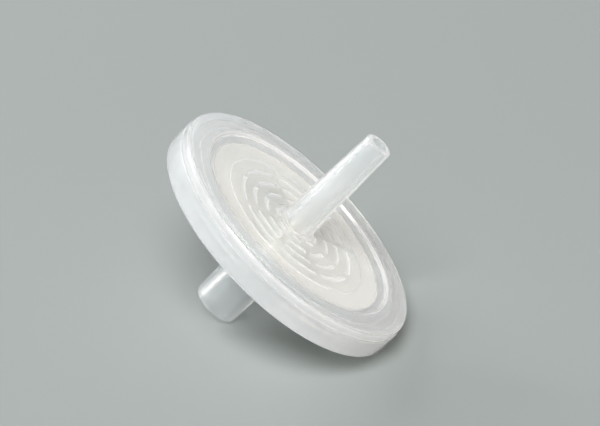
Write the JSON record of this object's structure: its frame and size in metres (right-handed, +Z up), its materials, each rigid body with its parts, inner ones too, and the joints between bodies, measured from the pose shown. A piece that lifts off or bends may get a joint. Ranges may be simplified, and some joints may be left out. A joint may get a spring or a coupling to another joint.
{
  "type": "syringe filter",
  "caption": "Translucent round syringe filter lying on its rim and hub, with a female Luer inlet hub, a male Luer outlet spout and a white membrane inside.",
  "frame": {"origin": "on the bench, in the middle of the box that the lying filter fills", "axes": "+Z up from the bench, +X along the bench to the side that the outlet spout leans to, +Y across the disc"},
  "size_m": [0.0344, 0.0404, 0.0297],
  "materials": {
    "natural_polypropylene": "satin",
    "membrane_sheet": "matte"
  },
  "bodies": {
    "root": {"inlet_housing": "natural_polypropylene", "membrane": "membrane_sheet", "outlet_housing": "natural_polypropylene"}
  },
  "joints": []
}
